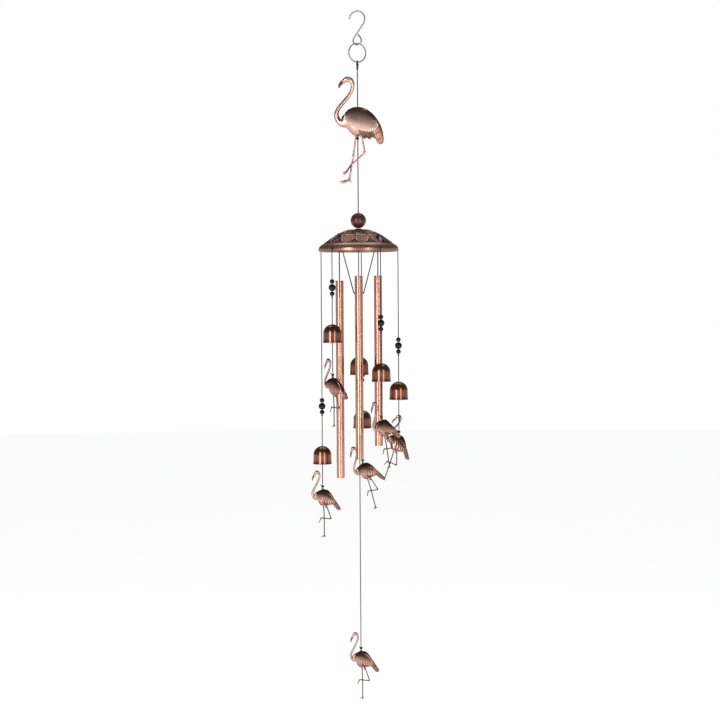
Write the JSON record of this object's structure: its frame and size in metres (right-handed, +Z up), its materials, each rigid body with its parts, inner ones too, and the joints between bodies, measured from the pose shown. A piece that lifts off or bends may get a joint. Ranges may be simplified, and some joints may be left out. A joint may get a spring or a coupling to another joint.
{
  "type": "wind chime",
  "caption": "Hanging wind chime: embossed dome canopy with metal tubes, strings of beads, bells and flamingo charms, and a large flamingo on its hanging cord.",
  "frame": {"origin": "inside crest of the S-hook, where the support carries the chime", "axes": "+Z up along the hanging cord, +Y to the back, away from the side that the flamingos show, +X to the right"},
  "size_m": [0.123, 0.118, 0.8615],
  "materials": {
    "steel": "satin grey wire",
    "main_cord": "waxed black cord",
    "string": "braided black cord",
    "flamingo_copper": "antique copper, dark in the recesses",
    "ball": "glossy reddish brown",
    "canopy_copper": "antique copper, polished on the raised edges",
    "tube": "satin rose-copper anodised",
    "bell_copper": "glossy dark copper",
    "bead": "glossy black"
  },
  "bodies": {
    "hook": {"s_hook": "steel"},
    "ring": {"hanging_ring": "steel"},
    "main_cord": {"hanging_cord": "main_cord"},
    "large_flamingo": {"large_flamingo_front": "flamingo_copper", "large_flamingo_back": "flamingo_copper", "large_flamingo_legs": "flamingo_copper"},
    "ball": {"top_ball": "ball"},
    "canopy": {"canopy": "canopy_copper", "hub_knot": "main_cord", "sling_knots": "string", "rim_knots": "string"},
    "tube_front": {"tube_front": "tube", "sling_front": "string"},
    "tube_right": {"tube_right": "tube", "sling_right": "string"},
    "tube_back": {"tube_back": "tube", "sling_back": "string"},
    "tube_left": {"tube_left": "tube", "sling_left": "string"},
    "string_a": {"string_cord_a": "string", "beads_a": "bead"},
    "bell_a": {"bell_a": "bell_copper"},
    "flamingo_a": {"flamingo_a": "flamingo_copper", "tie_a": "string"},
    "string_b": {"string_cord_b": "string", "beads_b": "bead"},
    "bell_b": {"bell_b": "bell_copper"},
    "flamingo_b": {"flamingo_b": "flamingo_copper", "tie_b": "string"},
    "string_c": {"string_cord_c": "string", "beads_c": "bead"},
    "bell_c": {"bell_c": "bell_copper"},
    "flamingo_c": {"flamingo_c": "flamingo_copper", "tie_c": "string"},
    "string_d": {"string_cord_d": "string", "beads_d": "bead"},
    "bell_d": {"bell_d": "bell_copper"},
    "flamingo_d": {"flamingo_d": "flamingo_copper", "tie_d": "string"},
    "string_e": {"string_cord_e": "string", "beads_e": "bead"},
    "bell_e": {"bell_e": "bell_copper"},
    "flamingo_e": {"flamingo_e": "flamingo_copper", "tie_e": "string"},
    "clapper": {"clapper_cord": "string"},
    "striker": {"striker_bell": "bell_copper"},
    "sail_line": {"sail_cord": "string"},
    "sail": {"sail_flamingo": "flamingo_copper", "sail_tie": "string"}
  },
  "joints": [
    {"name": "ring_swing", "type": "hinge", "parent": "hook", "child": "ring", "pos_m": [0, 0, -0.041], "axis": [0.9397, -0.342, 0], "range_deg": [-20, 20]},
    {"name": "cord_swing", "type": "hinge", "parent": "ring", "child": "main_cord", "pos_m": [0, 0, -0.0624], "axis": [0.9063, 0.4226, 0], "range_deg": [-15, 15]},
    {"name": "large_flamingo_spin", "type": "hinge", "parent": "main_cord", "child": "large_flamingo", "pos_m": [0, 0, -0.1175], "axis": [0, 0, 1], "continuous": true},
    {"name": "canopy_spin", "type": "hinge", "parent": "main_cord", "child": "ball", "pos_m": [0, 0, -0.2593], "axis": [0, 0, 1], "continuous": true},
    {"name": "canopy_tilt", "type": "hinge", "parent": "ball", "child": "canopy", "pos_m": [0, 0, -0.2593], "axis": [1, 0, 0], "range_deg": [-5, 5]},
    {"name": "tube_front_swing", "type": "hinge", "parent": "canopy", "child": "tube_front", "pos_m": [0, -0.024, -0.28498], "axis": [-1, 0, 0], "range_deg": [-0.8, 15]},
    {"name": "tube_right_swing", "type": "hinge", "parent": "canopy", "child": "tube_right", "pos_m": [0.024, 0, -0.28498], "axis": [0, -1, 0], "range_deg": [-0.8, 3.5]},
    {"name": "tube_back_swing", "type": "hinge", "parent": "canopy", "child": "tube_back", "pos_m": [0, 0.024, -0.28498], "axis": [1, 0, 0], "range_deg": [-0.8, 2]},
    {"name": "tube_left_swing", "type": "hinge", "parent": "canopy", "child": "tube_left", "pos_m": [-0.024, 0, -0.28498], "axis": [0, 1, 0], "range_deg": [-0.8, 6]},
    {"name": "string_a_swing", "type": "hinge", "parent": "canopy", "child": "string_a", "pos_m": [-0.03272, -0.03899, -0.294], "axis": [-0.766, 0.6428, 0], "range_deg": [-1.5, 25]},
    {"name": "bell_a_rock", "type": "hinge", "parent": "string_a", "child": "bell_a", "pos_m": [-0.03272, -0.03899, -0.39135], "axis": [-0.766, 0.6428, 0], "range_deg": [-6, 6]},
    {"name": "flamingo_a_spin", "type": "hinge", "parent": "string_a", "child": "flamingo_a", "pos_m": [-0.03272, -0.03899, -0.453], "axis": [0, 0, 1], "continuous": true},
    {"name": "string_b_swing", "type": "hinge", "parent": "canopy", "child": "string_b", "pos_m": [0.02697, -0.04317, -0.294], "axis": [-0.848, -0.5299, 0], "range_deg": [-1.5, 25]},
    {"name": "bell_b_rock", "type": "hinge", "parent": "string_b", "child": "bell_b", "pos_m": [0.02697, -0.04317, -0.43935], "axis": [-0.848, -0.5299, 0], "range_deg": [-6, 6]},
    {"name": "flamingo_b_spin", "type": "hinge", "parent": "string_b", "child": "flamingo_b", "pos_m": [0.02697, -0.04317, -0.505], "axis": [0, 0, 1], "continuous": true},
    {"name": "string_c_swing", "type": "hinge", "parent": "canopy", "child": "string_c", "pos_m": [0.04939, 0.01231, -0.294], "axis": [0.2419, -0.9703, 0], "range_deg": [-1.5, 25]},
    {"name": "bell_c_rock", "type": "hinge", "parent": "string_c", "child": "bell_c", "pos_m": [0.04939, 0.01231, -0.46435], "axis": [0.2419, -0.9703, 0], "range_deg": [-6, 6]},
    {"name": "flamingo_c_spin", "type": "hinge", "parent": "string_c", "child": "flamingo_c", "pos_m": [0.04939, 0.01231, -0.527], "axis": [0, 0, 1], "continuous": true},
    {"name": "string_d_swing", "type": "hinge", "parent": "canopy", "child": "string_d", "pos_m": [0.00355, 0.05078, -0.294], "axis": [0.9976, -0.0698, 0], "range_deg": [-1.5, 25]},
    {"name": "bell_d_rock", "type": "hinge", "parent": "string_d", "child": "bell_d", "pos_m": [0.00355, 0.05078, -0.50235], "axis": [0.9976, -0.0698, 0], "range_deg": [-6, 6]},
    {"name": "flamingo_d_spin", "type": "hinge", "parent": "string_d", "child": "flamingo_d", "pos_m": [0.00355, 0.05078, -0.566], "axis": [0, 0, 1], "continuous": true},
    {"name": "string_e_swing", "type": "hinge", "parent": "canopy", "child": "string_e", "pos_m": [-0.04719, 0.01907, -0.294], "axis": [0.3746, 0.9272, 0], "range_deg": [-1.5, 25]},
    {"name": "bell_e_rock", "type": "hinge", "parent": "string_e", "child": "bell_e", "pos_m": [-0.04719, 0.01907, -0.54535], "axis": [0.3746, 0.9272, 0], "range_deg": [-6, 6]},
    {"name": "flamingo_e_spin", "type": "hinge", "parent": "string_e", "child": "flamingo_e", "pos_m": [-0.04719, 0.01907, -0.596], "axis": [0, 0, 1], "continuous": true},
    {"name": "clapper_swing", "type": "hinge", "parent": "canopy", "child": "clapper", "pos_m": [0, 0, -0.2777], "axis": [0.7071, 0.7071, 0], "range_deg": [-1.5, 1.5]},
    {"name": "striker_rock", "type": "hinge", "parent": "clapper", "child": "striker", "pos_m": [0, 0, -0.43235], "axis": [0.7071, 0.7071, 0], "range_deg": [-5, 5]},
    {"name": "sail_swing", "type": "hinge", "parent": "clapper", "child": "sail_line", "pos_m": [0, 0, -0.43435], "axis": [0.7071, 0.7071, 0], "range_deg": [-6, 12]},
    {"name": "sail_spin", "type": "hinge", "parent": "sail_line", "child": "sail", "pos_m": [0, 0, -0.798], "axis": [0, 0, 1], "continuous": true}
  ]
}
